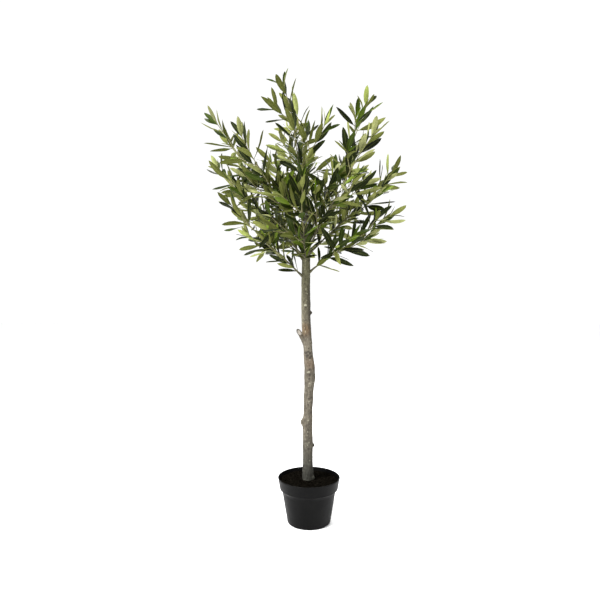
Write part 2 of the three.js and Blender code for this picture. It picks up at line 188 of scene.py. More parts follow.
# A node material and short ways to add nodes to it.
class Surface:

    def __init__(self, name, roughness, specular=0.5):
        self.material = bpy.data.materials.new(name)
        self.material.use_nodes = True
        self.tree = self.material.node_tree
        self.shader = self.tree.nodes["Principled BSDF"]
        self.shader.inputs["Roughness"].default_value = roughness
        self.shader.inputs["Specular IOR Level"].default_value = specular

    def add(self, kind, inputs=None, **settings):
        node = self.tree.nodes.new(kind)
        for key, value in settings.items():
            setattr(node, key, value)
        for key, value in (inputs or {}).items():
            if isinstance(value, bpy.types.NodeSocket):
                self.tree.links.new(value, node.inputs[key])
            else:
                node.inputs[key].default_value = value
        return node

    def coordinates(self, output="Object", scale=(1, 1, 1)):
        source = self.add("ShaderNodeTexCoord").outputs[output]
        return self.add("ShaderNodeMapping", {"Vector": source, "Scale": scale}).outputs["Vector"]

    def noise(self, vector, scale, detail=4.0, roughness=0.55):
        inputs = {"Vector": vector, "Scale": scale, "Detail": detail, "Roughness": roughness}
        return self.add("ShaderNodeTexNoise", inputs).outputs["Fac"]

    def cells(self, vector, scale):
        return self.add("ShaderNodeTexVoronoi", {"Vector": vector, "Scale": scale}).outputs["Distance"]

    # a value carried from one range to another
    def ranged(self, value, start, end, low=0.0, high=1.0):
        inputs = {"Value": value, "From Min": start, "From Max": end, "To Min": low, "To Max": high}
        return self.add("ShaderNodeMapRange", inputs).outputs["Result"]

    # colors or shares of one at stops along a value
    def ramp(self, value, *stops):
        node = self.add("ShaderNodeValToRGB", {"Fac": value})
        elements = node.color_ramp.elements
        while len(elements) < len(stops):
            elements.new(0.5)
        for element, (position, color) in zip(elements, stops):
            element.position = position
            element.color = (*color, 1) if isinstance(color, tuple) else (color, color, color, 1)
        return node.outputs["Color"]

    def mix(self, share, a, b, blend="MIX"):
        node = self.add("ShaderNodeMix", data_type="RGBA", blend_type=blend)
        for key, value in (("Factor", share), ("A", a), ("B", b)):
            socket = [s for s in node.inputs if s.name == key and s.enabled][0]
            if isinstance(value, bpy.types.NodeSocket):
                self.tree.links.new(value, socket)
            else:
                socket.default_value = (*value, 1) if isinstance(value, tuple) else value
        return [s for s in node.outputs if s.enabled][0]

    # a color multiplied by a tint, as far as a mask and its strength say
    def tinted(self, base, mask, strength, tint):
        return self.mix(self.math("MULTIPLY", mask, strength), base, self.mix(1.0, base, tint, "MULTIPLY"))

    def math(self, operation, a, b=0.0):
        node = self.add("ShaderNodeMath", {0: a, 1: b}, operation=operation)
        return node.outputs["Value"]

    def color(self, value):
        self.tree.links.new(value, self.shader.inputs["Base Color"])

    def roughness(self, value, low, high):
        self.tree.links.new(self.ranged(value, 0.0, 1.0, low, high), self.shader.inputs["Roughness"])

    def bump(self, height, distance, strength=1.0):
        node = self.add("ShaderNodeBump", {"Height": height, "Distance": distance, "Strength": strength})
        self.tree.links.new(node.outputs["Normal"], self.shader.inputs["Normal"])


# Black moulded plastic: nearly black, with a fine grain in the skin and faint paler patches of dust.
def potPlastic():
    s = Surface("potPlastic", 0.38, 0.07)
    place = s.coordinates()
    dust = s.noise(place, 22, 6)
    s.color(s.ramp(dust, (0.4, (0.0014, 0.0014, 0.0015)), (0.75, (0.0032, 0.0032, 0.003))))
    s.roughness(s.noise(place, 60), 0.4, 0.56)
    s.bump(s.noise(place, 900, 3), 0.0002, 0.5)
    return s.material


# Dark crumbly soil: grains from near black to deep brown, with a rough broken skin.
def pottingSoil():
    s = Surface("pottingSoil", 0.95, 0.0)
    place = s.coordinates()
    grain = s.noise(place, 260, 8, 0.7)
    s.color(s.ramp(grain, (0.34, (0.0008, 0.0007, 0.0005)), (0.55, (0.0035, 0.003, 0.0022)),
                   (0.72, (0.0155, 0.0125, 0.009))))
    s.bump(s.mix(0.5, s.cells(place, 420), s.noise(place, 700, 6)), 0.0015)
    return s.material


# Grey-brown young bark: soft patches and fine grain, greener towards the head, warmer in two patches by the stub
# and below it, dark at the foot, and paler or darker where the bark's tone attribute is above or below 0. That
# attribute carries knots, spots and belts, and on the trunk a band of painted light on the left and painted shade
# on the right.
def oliveBark():
    s = Surface("oliveBark", 0.85, 0.15)
    place = s.coordinates()
    grain = s.noise(s.coordinates(scale=(1, 1, 0.55)), 230, 8, 0.68)
    patches = s.noise(s.coordinates(scale=(1, 1, 0.6)), 55, 5, 0.6)
    wood = s.ramp(grain, (0.3, (0.042, 0.036, 0.028)), (0.5, (0.1, 0.089, 0.069)), (0.72, (0.18, 0.163, 0.13)))
    wood = s.mix(0.8, wood, s.ramp(patches, (0.36, (0.6, 0.58, 0.55)), (0.62, (1.1, 1.08, 1.04))), "MULTIPLY")
    height = s.add("ShaderNodeSeparateXYZ", {"Vector": place}).outputs["Z"]
    wood = s.tinted(wood, s.ranged(height, 0.5, 0.66), 0.8, (0.9, 1.0, 0.72))
    warmPlaces = ((-0.01, -0.013, 0.521), (1.2, 0.88, 0.64)), ((0.006, -0.012, 0.43), (1.08, 0.9, 0.82))
    for middle, warmth in warmPlaces:
        away = s.add("ShaderNodeVectorMath", {0: place, 1: middle}, operation="DISTANCE").outputs["Value"]
        wood = s.tinted(wood, s.ramp(s.math("MULTIPLY", away, 20), (0.15, 1.0), (0.5, 0.0)), 0.75, warmth)
    wood = s.tinted(wood, s.ranged(height, 0.25, 0.15), 0.95, (0.36, 0.41, 0.45))
    tone = s.add("ShaderNodeAttribute", attribute_name="barkToneAndPaintedLight").outputs["Fac"]
    # the tone's pale colour also paints light on the trunk's left side, and its dark colour paints shade on the
    # right
    wood = s.mix(s.ramp(tone, (0.02, 0.0), (0.7, 0.75)), wood, (0.32, 0.31, 0.235))
    wood = s.mix(s.ramp(s.math("MULTIPLY", tone, -1.0), (0.02, 0.0), (0.7, 0.8)), wood, (0.028, 0.024, 0.02))
    s.color(wood)
    s.roughness(grain, 0.75, 0.95)
    s.bump(s.mix(0.3, grain, s.cells(place, 420)), 0.001, 0.8)
    return s.material


# The sawn end of a stub: dry grey-brown wood, faintly mottled.
def sawnWood():
    s = Surface("sawnWood", 0.9, 0.2)
    place = s.coordinates()
    s.color(s.ramp(s.noise(place, 500, 5), (0.35, (0.2, 0.18, 0.155)), (0.7, (0.4, 0.375, 0.335))))
    s.bump(s.noise(place, 900, 4), 0.0005)
    return s.material


# Thin young twigs, olive to straw-coloured in soft patches.
def youngTwig():
    s = Surface("youngTwig", 0.6, 0.35)
    place = s.coordinates()
    s.color(s.ramp(s.noise(place, 140, 5), (0.34, (0.095, 0.086, 0.034)), (0.6, (0.2, 0.185, 0.085)),
                   (0.8, (0.31, 0.29, 0.15))))
    s.roughness(s.noise(place, 300), 0.5, 0.75)
    s.bump(s.noise(place, 1300, 3), 0.0003)
    return s.material


# A leaf face: each leaf has its own shade out of a few, mottled a little. By its UV map, whose X runs across the
# leaf and Y along it, it has a pale midrib, side veins that slant off the midrib, and a slightly paler edge.
def leafBlade(name, shades, ribColor, ribShare, roughness, specular):
    s = Surface(name, roughness, specular)
    shade = s.add("ShaderNodeAttribute", attribute_name="leafShade").outputs["Fac"]
    body = s.ramp(shade, *shades)
    place = s.coordinates()
    mottle = s.ramp(s.noise(place, 120, 4), (0.35, 0.8), (0.7, 1.12))
    body = s.mix(1.0, body, mottle, "MULTIPLY")
    uv = s.add("ShaderNodeSeparateXYZ", {"Vector": s.coordinates("UV")})
    across = s.math("ABSOLUTE", s.math("SUBTRACT", uv.outputs["X"], 0.5))
    slant = s.math("SUBTRACT", s.math("MULTIPLY", uv.outputs["Y"], 9.0), s.math("MULTIPLY", across, 5.0))
    veins = s.math("ABSOLUTE", s.math("SUBTRACT", s.math("FRACT", slant), 0.5))
    vein = s.ramp(veins, (0.0, 1.0), (0.09, 0.0))
    rib = s.ramp(across, (0.012, 1.0), (0.045, 0.0))
    edge = s.ramp(across, (0.44, 0.0), (0.5, 1.0))
    for mask, strength in ((vein, 0.16), (rib, ribShare), (edge, 0.3)):
        body = s.mix(s.math("MULTIPLY", mask, strength), body, ribColor)
    s.color(body)
    s.roughness(s.noise(place, 200), roughness - 0.07, roughness + 0.1)
    s.bump(s.mix(0.5, vein, s.noise(place, 900, 3)), 0.0002, 0.6)
    return s.material


leafFaces = {
    "leafUpper": {
        # a leaf's shade, from 0 to 1, and its color there
        "shades": ((0.0, (0.0028, 0.0046, 0.0003)), (0.4, (0.0088, 0.0148, 0.0006)),
                   (0.66, (0.0215, 0.039, 0.0012)), (0.84, (0.052, 0.089, 0.003)), (1.0, (0.115, 0.165, 0.014))),
        "ribColor": (0.085, 0.1, 0.018),
        "ribShare": 0.5,
        "roughness": 0.42,
        "specular": 0.08,
    },
    "leafLower": {
        "shades": ((0.0, (0.062, 0.072, 0.0115)), (0.45, (0.153, 0.168, 0.043)),
                   (0.8, (0.322, 0.335, 0.152)), (1.0, (0.23, 0.28, 0.06))),
        "ribColor": (0.23, 0.25, 0.085),
        "ribShare": 0.45,
        "roughness": 0.7,
        "specular": 0.06,
    },
}

plastic = potPlastic()
soilFinish = pottingSoil()
bark = oliveBark()
sawn = sawnWood()
twigFinish = youngTwig()
leafUpper, leafLower = [leafBlade(name, **settings) for name, settings in leafFaces.items()]
print("materials made")


pot = {
    "collarHeight": 0.029,
    "collarTaper": 0.005,
    "stepHeight": 0.005,
    "stepDepth": 0.006,
    "footRadius": 0.059,
    "footFillet": 0.005,
    "wall": 0.0016,
    "lip": 0.0022,
    "floor": 0.0024,
    "drains": 6,
    "drainRadius": 0.005,
    "drainCircle": 0.036,
    "soft": 0.0011,  # radius of the band's lower edge
    "hollow": 0.0012,  # how far the underside is raised, inside a foot ring this wide
    "footRing": 0.0145,
    "sharpAngle": 38,
    "sides": 160,
    "step": 0.006,  # between the profile's points, at most
}


# Points on part of a circle, from a start to an end in degrees: centre + radius * direction.
def arc(centre, radius, start, end, steps):
    return np.array(centre) + radius * directions(np.radians(np.linspace(start, end, steps)))


# A profile of [radius, height] turned round the upright axis, closed at the axis by its first and last points.
def turnedMesh(name, profile, sides):
    inner = profile[1:-1, None]
    heights = np.broadcast_to(inner[..., 1:], (len(inner), sides, 1))
    rings = np.concatenate([inner[..., :1] * directions(ringTurns(sides)), heights], -1)
    return ringMesh(name, rings, [0, 0, profile[0, 1]], [0, 0, profile[-1, 1]])


# The same profile with points added so that none are further apart than the step.
def densified(profile, step):
    gaps = np.linalg.norm(np.diff(profile, axis=0), axis=1)
    parts = [np.linspace(a, b, max(1, math.ceil(gap / step)), endpoint=False)
             for a, b, gap in zip(profile[:-1], profile[1:], gaps)]
    return np.vstack([*parts, profile[-1:]])


# The pot's outline runs from the middle of its underside up the outside, over the rounded lip and down the
# inside. It is turned round the axis, and a ring of upright cylinders cuts the drainage holes.
def makePot():
    low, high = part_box("pot")
    height, rim = high.z - low.z, (high.y - low.y) / 2
    foot, fillet, wall, lip = pot["footRadius"], pot["footFillet"], pot["wall"], pot["lip"]
    band = height - pot["collarHeight"]
    bandRadius = rim - pot["collarTaper"]
    neck, neckRadius = band - pot["stepHeight"], bandRadius - pot["stepDepth"]
    soft = pot["soft"]
    outline = np.vstack([
        [[0, pot["hollow"]], [foot - pot["footRing"] - 0.002, pot["hollow"]], [foot - pot["footRing"], 0]],
        arc((foot - fillet, fillet), fillet, -90, 0, 7),
        # up to the neck, which turns out under the step, and round the band's lower edge
        [[neckRadius - 0.0003, neck - 0.0016], [neckRadius + 0.0004, neck - 0.0009], [neckRadius + 0.0008, neck]],
        [[bandRadius - soft * 1.2, band - 0.0012]],
        arc((bandRadius - soft, band + soft * 0.3), soft, -50, 10, 5),
        # up the band, over the lip and down the inside to the floor
        [[rim - 0.0008, height - 0.004]],
        arc((rim - lip / 2, height - lip / 2), lip / 2, 0, 180, 9),
        [[rim - lip - 0.0006, height - 0.006]],
        [[bandRadius - wall, band + 0.001], [neckRadius - wall, neck - 0.001]],
        [[foot - wall + 0.0004, fillet], [foot - fillet, pot["floor"]], [0, pot["floor"]]],
    ])
    mesh = turnedMesh("pot", densified(outline, pot["step"]), pot["sides"])
    shell = addObject("shell", mesh)
    cutter = bmesh.new()
    for x, y in pot["drainCircle"] * directions(ringTurns(pot["drains"], 0.5)):
        made = bmesh.ops.create_cone(cutter, cap_ends=True, segments=32, radius1=pot["drainRadius"],
                                     radius2=pot["drainRadius"], depth=0.02)
        bmesh.ops.translate(cutter, verts=made["verts"], vec=(x, y, 0))
    drainMesh = bpy.data.meshes.new("drains")
    cutter.to_mesh(drainMesh)
    cutter.free()
    drains = addObject("drains", drainMesh)
    cut = shell.modifiers.new("drains", "BOOLEAN")
    cut.object, cut.operation, cut.solver = drains, "DIFFERENCE", "EXACT"
    bpy.context.view_layer.update()
    finished = bpy.data.meshes.new_from_object(shell.evaluated_get(bpy.context.evaluated_depsgraph_get()))
    finished.name = "pot_shell"
    finished.materials.clear()
    finished.shade_smooth()
    finished.set_sharp_from_angle(angle=math.radians(pot["sharpAngle"]))
    bpy.data.objects.remove(shell)
    bpy.data.objects.remove(drains)
    addPiece("pot_shell", finished, [plastic], "pot", "pot")


makePot()
print("pot made")


soil = {
    "side": [[0.0525, 0], [0.0565, 0.003]],  # [radius, height] over the soil's own foot
    "shoulder": [[0.0705, 0.087], [0.0755, 0.0925]],  # and over the floor
    "mound": 0.028,  # radius of the top's level middle, which slopes down to the edge
    "rings": 74,
    "sides": 150,
    "heaves": ((0.03, 1, 0.5), (0.009, 2, 0.55), (0.0042, 3, 0.4)),  # size, seed and share of each noise
    "roughness": 0.0016,  # how far the heaves stand up
    "sunk": 0.0006,  # how far the top lies under the CAD soil's
    "crumbs": 420,
    "crumbRadius": (0.0009, 0.0028),
    "seed": 4,
}


# The soil: its CAD outline turned round the axis, with the top heaved by noise of a few sizes, and loose crumbs
# pressed into it. The top falls straight from the level middle to the edge.
def makeSoil():
    points, _ = merged("soil")
    radius = np.hypot(points[:, 0], points[:, 1])
    low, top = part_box("soil")
    edge, level = radius.max(), points[radius.argmax(), 2]

    def ground(reach):
        return level + (top.z - level) * np.clip((edge - reach) / (edge - soil["mound"]), 0, 1)

    rings = np.linspace(0.0005, edge, soil["rings"])[::-1]
    profile = np.vstack([
        [[0, low.z]],
        np.array(soil["side"]) + [0, low.z],
        soil["shoulder"],
        np.stack([rings, ground(rings)], -1),
        [[0, top.z]],
    ])
    mesh = turnedMesh("soil_crumbs", profile, soil["sides"])
    places = pointsOf(mesh)
    upper = places[:, 2] > level - 1e-4
    heave = sum(smoothNoise(places, size, seed) * share for size, seed, share in soil["heaves"])
    places[:, 2] += upper * (heave * soil["roughness"] - soil["sunk"])
    mesh.vertices.foreach_set("co", places.ravel())
    random = np.random.default_rng(soil["seed"])
    count = soil["crumbs"]
    ball = bmesh.new()
    bmesh.ops.create_icosphere(ball, subdivisions=1, radius=1)
    shape = np.array([v.co for v in ball.verts])
    faces = np.array([[v.index for v in f.verts] for f in ball.faces])
    ball.free()
    reach = edge * np.sqrt(random.uniform(0.045, 0.95, count))
    turn = random.uniform(0, 2 * math.pi, count)
    size = random.uniform(*soil["crumbRadius"], count) * random.uniform(0.5, 1, count)
    crumbs = shape[None] * random.uniform(0.65, 1.25, (count, len(shape), 1)) * size[:, None, None]
    crumbs = crumbs * random.uniform(0.7, 1.3, (count, 1, 3))
    crumbs += np.stack([reach * np.cos(turn), reach * np.sin(turn), ground(reach)], -1)[:, None]
    loose = newMesh("soil_loose_crumbs", crumbs.reshape(-1, 3),
                    (faces[None] + len(shape) * np.arange(count)[:, None, None]).reshape(-1, 3))
    addPiece("soil_crumbs", mesh, [soilFinish], "soil", "soil")
    addPiece("soil_loose_crumbs", loose, [soilFinish], "soil")


makeSoil()
print("soil made")


trunk = {
    "sides": 96,
    "step": 0.0014,  # between rows of points
    "girth": 1.045,  # against the CAD trunk, whose corners lie on its rings
    "cadCorners": 9,  # a ring of the CAD trunk has at least this many corners at one height
    "height": 0.72,  # from the soil to the head
    "smoothing": 0.02,  # the middle line is a mean over this far below and above
    "buried": 0.02,  # how far it goes on down into the soil
    "rounding": 0.006,  # height of the rounded end, inside the head
    # share of the height, azimuth, radius, and how far it stands out
    "knots": [(0.008, 350, 0.005, 0.004), (0.131, 2, 0.0036, 0.0052), (0.219, 184, 0.0075, 0.0068),
              (0.31, 96, 0.007, 0.0036), (0.404, 4, 0.024, 0.0036), (0.472, 268, 0.006, 0.0026),
              (0.631, 6, 0.0036, 0.0055), (0.694, 110, 0.0065, 0.0032)],
    # a band of painted light and shade: painted paler on the left, where the key light falls, and painted darker
    # as if in shade on the right
    "paintedLightAndShadeBand": (0.585, 0.075),  # middle and half height of the band that is pale on the left, dark on the right
    "darkFoot": 0.28,  # the foot is streaked by dark belts below this height
    "pores": 130,
    "poreHalfHeight": (0.0009, 0.0022),
    "seed": 11,
    # the larger spots: height, azimuth, half height, and how pale it is, or below 0 how dark
    "spots": [
        (0.631, 271, 0.0018, 0.6), (0.624, 266, 0.0016, -0.7), (0.616, 276, 0.002, -0.5),
        (0.587, 266, 0.0032, 0.85), (0.581, 266, 0.0022, -0.5), (0.545, 255, 0.0014, -0.7),
        (0.539, 265, 0.0016, -0.7), (0.5256, 245, 0.0012, 0.6), (0.517, 256, 0.0012, 0.6),
        (0.502, 238, 0.002, -0.4), (0.458, 232, 0.003, -0.8), (0.451, 240, 0.0022, -0.5),
        (0.462, 268, 0.0022, -0.6), (0.47, 277, 0.0018, -0.8), (0.459, 250, 0.003, -0.85),
        (0.4575, 290, 0.0032, -0.85), (0.457, 271, 0.0017, 0.6), (0.452, 263, 0.0028, -0.9),
        (0.451, 280, 0.0014, 0.5), (0.4495, 300, 0.003, -0.6), (0.447, 248, 0.0022, -0.55),
        (0.445, 282, 0.0022, -0.7), (0.4394, 283, 0.0014, 0.6), (0.414, 276, 0.0022, -0.7),
        (0.4075, 266, 0.0018, 0.7), (0.4, 272, 0.0022, -0.8), (0.3895, 270, 0.0021, -0.6),
        (0.377, 276, 0.0017, 0.5), (0.336, 268, 0.0024, -0.6), (0.328, 278, 0.0018, 0.45),
        (0.32, 266, 0.002, -0.7), (0.277, 273, 0.0018, 0.5), (0.251, 270, 0.0016, -0.7),
        (0.246, 266, 0.0014, 0.45), (0.241, 272, 0.0018, -0.8), (0.236, 262, 0.0012, 0.4),
        (0.2, 280, 0.003, -0.6), (0.165, 258, 0.0024, 0.3),
    ],
}


# The centre and radius of each level ring of the CAD trunk, by a least squares circle through the corners that
# lie at one height.
def trunkRings():
    points, _ = merged("trunk")
    heights, count = np.unique(np.round(points[:, 2], 5), return_counts=True)
    rows = []
    for height in heights[count >= trunk["cadCorners"]]:
        x, y = points[np.abs(points[:, 2] - height) < 2e-5][:, :2].T
        a, b, c = np.linalg.lstsq(np.stack([2 * x, 2 * y, np.ones(len(x))], -1), x * x + y * y, rcond=None)[0]
        rows.append((height, a, b, math.sqrt(c + a * a + b * b)))
    return np.array(rows)


trunkRows = trunkRings()
headHeight = trunkRows[-1, 0]
soilHeight = headHeight - trunk["height"]


# A column of the trunk's rows at a height, by straight lines between them, and the mean of nine such values
# from below that height to above it.
def smoothRow(height, column):
    shifts = np.linspace(-trunk["smoothing"], trunk["smoothing"], 9)
    return np.mean([np.interp(height + shift, trunkRows[:, 0], trunkRows[:, column]) for shift in shifts], axis=0)


# The trunk: level rings round its smoothed middle line. Each knot and spot swells the radius by a bell of its
# distance along the bark, with a dimple in its middle, and noise stretched upright makes the bark's ridges. A
# tone for each point, pale above 0 and dark below, marks knots, spots and the belts at the foot, and paints
# light on the left of a band and shade on its right.
def makeTrunk():
    sides, low = trunk["sides"], soilHeight - trunk["buried"]
    rows = int((headHeight - low) / trunk["step"])
    height = np.linspace(low, headHeight, rows)[:, None]
    radius = smoothRow(height, 3) * trunk["girth"]
    radius *= np.sqrt(np.clip((headHeight - height) / trunk["rounding"], 0.12, 1))
    turn = ringTurns(sides)
    flat = directions(turn)
    swell = np.zeros((rows, sides))
    tone = np.zeros_like(swell)

    def farFrom(z, azimuth, high, wide):
        # squared distance from a place on the bark, counted in its half height and half width
        turned = (turn - math.radians(azimuth) + math.pi) % (2 * math.pi) - math.pi
        return ((height - z) / high) ** 2 + (turned * radius / wide) ** 2

    def stretched(wide, high):
        # the points of the rings on a cylinder that wide, with their heights multiplied
        around = np.broadcast_to(flat * wide, (rows, sides, 2))
        return np.concatenate([around, np.broadcast_to(height[..., None] * high, (rows, sides, 1))], -1)

    for share, azimuth, size, proud in trunk["knots"]:
        far = farFrom(soilHeight + share * trunk["height"], azimuth, 1.25 * size, size)
        swell += proud * 1.15 * np.exp(-far) * (1 - 0.35 * np.exp(-far * 9))
        tone -= (0.75 if size < 0.004 else 0) * np.exp(-far * 0.8)  # the small knots are dark
    # painted light and shade: the band's left side, towards the key light, is painted paler, its right side is
    # painted dark as if in shade, and the whole band a little darker
    left = np.clip((-np.cos(turn) - 0.25) / 0.75, 0, 1)
    right = np.clip((np.cos(turn) - 0.2) / 0.8, 0, 1)
    middle, half = trunk["paintedLightAndShadeBand"]
    tone += np.exp(-((height - middle) / half) ** 4) * (0.38 * left - 0.5 * right - 0.16)
    random = np.random.default_rng(trunk["seed"])
    pores = [(random.uniform(soilHeight + 0.01, headHeight - 0.02), random.uniform(0, 360),
              random.uniform(*trunk["poreHalfHeight"]), random.choice([-0.5, 0.35, 0.6]))
             for _ in range(trunk["pores"])]
    for z, azimuth, size, pale in [*trunk["spots"], *pores]:
        far = farFrom(z, azimuth, size, 1.25 * size)
        tone += (pale if z > 0.19 else pale * 0.5) * 1.2 * np.exp(-far ** 1.5)
        swell += size * 0.35 * (np.exp(-far) - (0.9 if pale < 0 else 0.2) * np.exp(-far * 5))
    upright = stretched(0.0125, 0.45)
    swell += 0.0003 * smoothNoise(upright, 0.007, 21) + 0.0002 * smoothNoise(upright, 0.0026, 22)
    swell += 0.0006 * smoothNoise(upright, 0.02, 23)
    belts = smoothNoise(stretched(0.003, 0.72), 0.007, 24) - 0.25
    tone += belts * np.clip((trunk["darkFoot"] - height) / 0.1, 0, 1) * 0.17
    flare = np.clip(np.exp(-((height - soilHeight) / 0.01)), 0, 1.3)
    swell += 0.0005 * flare * (1 + np.cos(3 * turn + 0.7))  # three low roots
    centre = np.concatenate([smoothRow(height, 1), smoothRow(height, 2)], -1)
    ring = centre[:, None] + flat * (radius + swell)[..., None]
    rings = np.concatenate([ring, np.broadcast_to(height[..., None], (rows, sides, 1))], -1)
    mesh = ringMesh("trunk_bark", rings, [*centre[0], low], [*centre[-1], headHeight + 0.001])
    addNumbers(mesh, "barkToneAndPaintedLight", np.append(tone.ravel(), [0, 0]))
    addPiece("trunk_bark", mesh, [bark], "bark", "trunk")


stub = {
    "share": 0.506,  # of the trunk's height
    "azimuth": 188,
    "rise": 58,  # degrees above level
    "length": 0.0435,
    "radius": 0.0083,
    "flare": 0.45,  # how much thicker it is where it leaves the trunk
    "cut": (0.42, -0.62, 0.66),  # the direction that the sawn end faces
    "rows": 56,  # of points along it, before the two that lie in the cut
    "sides": 40,
    "sharpAngle": 45,
}


# The sawn stub: level rings along a slanting middle line, wide where it leaves the trunk. The rings tilt more
# and more towards the plane of the cut, which faces the front, and the last one lies in it.
def makeStub():
    height = soilHeight + stub["share"] * trunk["height"]
    root = np.array([smoothRow(height, 1), smoothRow(height, 2), height])
    a, r = math.radians(stub["azimuth"]), math.radians(stub["rise"])
    along = np.array([math.cos(a) * math.cos(r), math.sin(a) * math.cos(r), math.sin(r)])
    rows = stub["rows"]
    share = np.append(np.linspace(0, 1, rows), [1, 1])[:, None]
    inset = np.append(np.ones(rows - 1), [0.95, 0.7, 0.4])[:, None]  # the rim of the cut and the rings in it
    shift = np.append(np.zeros(rows), [0.14, 0.18])[:, None] * stub["radius"]
    radius = stub["radius"] * (1 + stub["flare"] * np.clip(1 - share / 0.75, 0, 1) ** 1.5) * inset
    sides = stub["sides"]
    turn = ringTurns(sides)
    spread = np.stack(np.broadcast_arrays(np.cos(turn) * 0.006, np.sin(turn) * 0.006, share * 0.03), -1)
    radius = radius * (1 + 0.07 * smoothNoise(spread, 0.008, 31) + 0.03 * smoothNoise(spread, 0.003, 32))
    nx, ny, nz = stub["cut"]
    dx, dy = radius * np.cos(turn) + shift * nx, radius * np.sin(turn) + shift * ny
    dz = -share ** 3 * (nx * dx + ny * dy) / nz
    centre = root + share[..., None] * stub["length"] * along
    rings = centre + np.stack([dx, dy, dz], -1)
    mesh = ringMesh("trunk_stub", rings, root - (0, 0, 0.001), rings[-1].mean(0))
    cut = np.zeros(len(mesh.polygons), np.int32)
    cut[sides * rows:sides * (rows + 1)] = 1  # the last row of quads, and the fan in it
    cut[-sides:] = 1
    mesh.polygons.foreach_set("material_index", cut)
    addNumbers(mesh, "barkToneAndPaintedLight", np.append(np.repeat(-0.12 - 0.22 * share[:, 0] ** 4, sides), [0, 0]))
    mesh.set_sharp_from_angle(angle=math.radians(stub["sharpAngle"]))
    addPiece("trunk_stub", mesh, [bark, sawn], "bark")


makeTrunk()
makeStub()
print("trunk made")


branch = {
    "sides": 12,
    "cadSides": 6,
    "endRing": 0.0045,  # the CAD branch's last ring lies this near to its furthest corner
    "step": 0.003,
    "slender": 0.82,  # against the CAD branch
    "bury": 0.009,  # how far it goes on inside the trunk
    "collar": 0.7,  # how much thicker it is where it leaves the trunk
    "collarLength": 0.007,
    "crook": 0.0008,
    "unevenness": 0.06,  # share of the radius
}


# The middle line of a CAD branch from the trunk outwards: ring after ring, walked back from the far end.
def branchPath(name):
    points, triangles = merged(name)
    axis = trunkRows[:, 1:3].mean(0)
    order = np.argsort(np.hypot(*(points[:, :2] - axis).T) + points[:, 2])
    far = points[order[-1]]
    seen = np.linalg.norm(points - far, axis=1) < branch["endRing"]
    ring = seen.copy()
    path = []
    while ring.sum() == branch["cadSides"]:
        centre = points[ring].mean(0)
        path.append([*centre, np.linalg.norm(points[ring] - centre, axis=1).mean()])
        joined = np.zeros(len(points), bool)
        joined[triangles[ring[triangles].any(1)].ravel()] = True
        ring = joined & ~seen
        seen |= joined
    path = np.array(path)[::-1]
    if (~seen | ring).any():
        foot = points[~seen | ring].mean(0)
    else:  # the cut at the trunk is itself a ring
        foot, path = path[0, :3], path[1:]
    inside = foot + unit(foot - path[0, :3]) * branch["bury"]
    return np.vstack([[*inside, path[0, 3]], [*foot, path[0, 3]], path])


# Points along a smooth curve through the knots: each stretch is a cubic whose slopes are those of its
# neighbours' chord.
def curveThrough(knots, step):
    gaps = np.linalg.norm(np.diff(knots[:, :3], axis=0), axis=1)
    at = np.concatenate([[0], np.cumsum(gaps)])
    slope = np.gradient(knots, at, axis=0)
    where = np.linspace(0, at[-1], max(4, int(at[-1] / step)))
    i = np.clip(np.searchsorted(at, where, "right") - 1, 0, len(at) - 2)
    h = (at[i + 1] - at[i])[:, None]
    t = ((where - at[i])[:, None]) / h
    return ((1 + 2 * t) * (1 - t) ** 2 * knots[i] + t * (1 - t) ** 2 * h * slope[i]
            + t * t * (3 - 2 * t) * knots[i + 1] + t * t * (t - 1) * h * slope[i + 1])


branchLines = {}


# A branch: a round tube on its CAD middle line, carried on into the trunk's middle, with a collar where it
# leaves the trunk and slight crooks along it.
def makeBranch(name):
    path = branchPath(name)
    line = curveThrough(path, branch["step"])
    branchLines[name] = line
    off = line[:, :2] - np.stack([smoothRow(line[:, 2], 1), smoothRow(line[:, 2], 2)], -1)
    clear = np.clip(np.linalg.norm(off, axis=1) - smoothRow(line[:, 2], 3), 0, 1)
    radii = branch["slender"] * line[:, 3] * (1 + branch["collar"] * np.exp(-clear / branch["collarLength"]))
    centres = line[:, :3] + branch["crook"] * np.stack(
        [smoothNoise(line[:, :3], 0.045, 40 + k) for k in range(3)], -1) * np.clip(clear / 0.01, 0, 1)[:, None]
    bulge = 1 + branch["unevenness"] * smoothNoise(line[:, :3], 0.011, 44)[:, None] * np.ones(branch["sides"])
    addPiece(name + "_wood", tubeMesh(name + "_wood", centres, radii, bulge), [bark], "bark", name)


for name in sorted(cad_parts):
    if name.startswith("branch_"):
        makeBranch(name)
print("branches made:", len(branchLines))


leaf = {
    # share of the length at each row of points, and the share of the full width there
    "rows": [-0.02, 0.06, 0.16, 0.32, 0.52, 0.72, 0.89, 1.0],
    "widths": [0, 0.04, 0.48, 0.88, 1.0, 0.9, 0.55, 0],
    "petioleWidth": 0.0008,
    "sharp": 2.2,  # a CAD leaf's tip and a bud have angles that come to less than this, in radians,
    "tipEdge": 0.008,  # and a tip's edges are all longer than this,
    "budEdge": 0.006,  # a bud's all shorter than this
    "cadShare": 0.3,  # where the CAD blade has its first corners, and their share of its half width
    "cadWidth": 0.88,
    "narrow": 0.85,  # against the CAD blades, and how much longer than them
    "longer": 1.08,
    "widest": (0.88, 1.14),  # a power that moves the widest place nearer the foot or the tip
    "sway": (-0.05, 0.05),  # sideways, and up or down, in lengths
    "dip": (-0.07, 0.05),
    "twist": (-1.2, 1.2),  # at the tip, in radians
    "fold": 0.38,  # how far the halves fold up, and how far their edges roll back, in half widths
    "roll": 0.16,
    "foldSpread": (0.3, 1.7),  # what each leaf's fold and roll are multiplied by
    "wave": 0.05,
    "thickness": ([0, 0.08, 0.25, 1], [0.0014, 0.0012, 0.0008, 0.0002]),  # of the middle, by share of the length
    "edgeThickness": 0.7,  # half way out from the middle, against the middle's
    "heart": (-0.005, 0, 0.83),  # the middle of the head, which upper sides mostly face away from
    "turnedOver": 0.4,
    "fresh": 0.09,  # share of the leaves that are bright and new
    "sharpAngle": 70,
    "seed": 7,
}


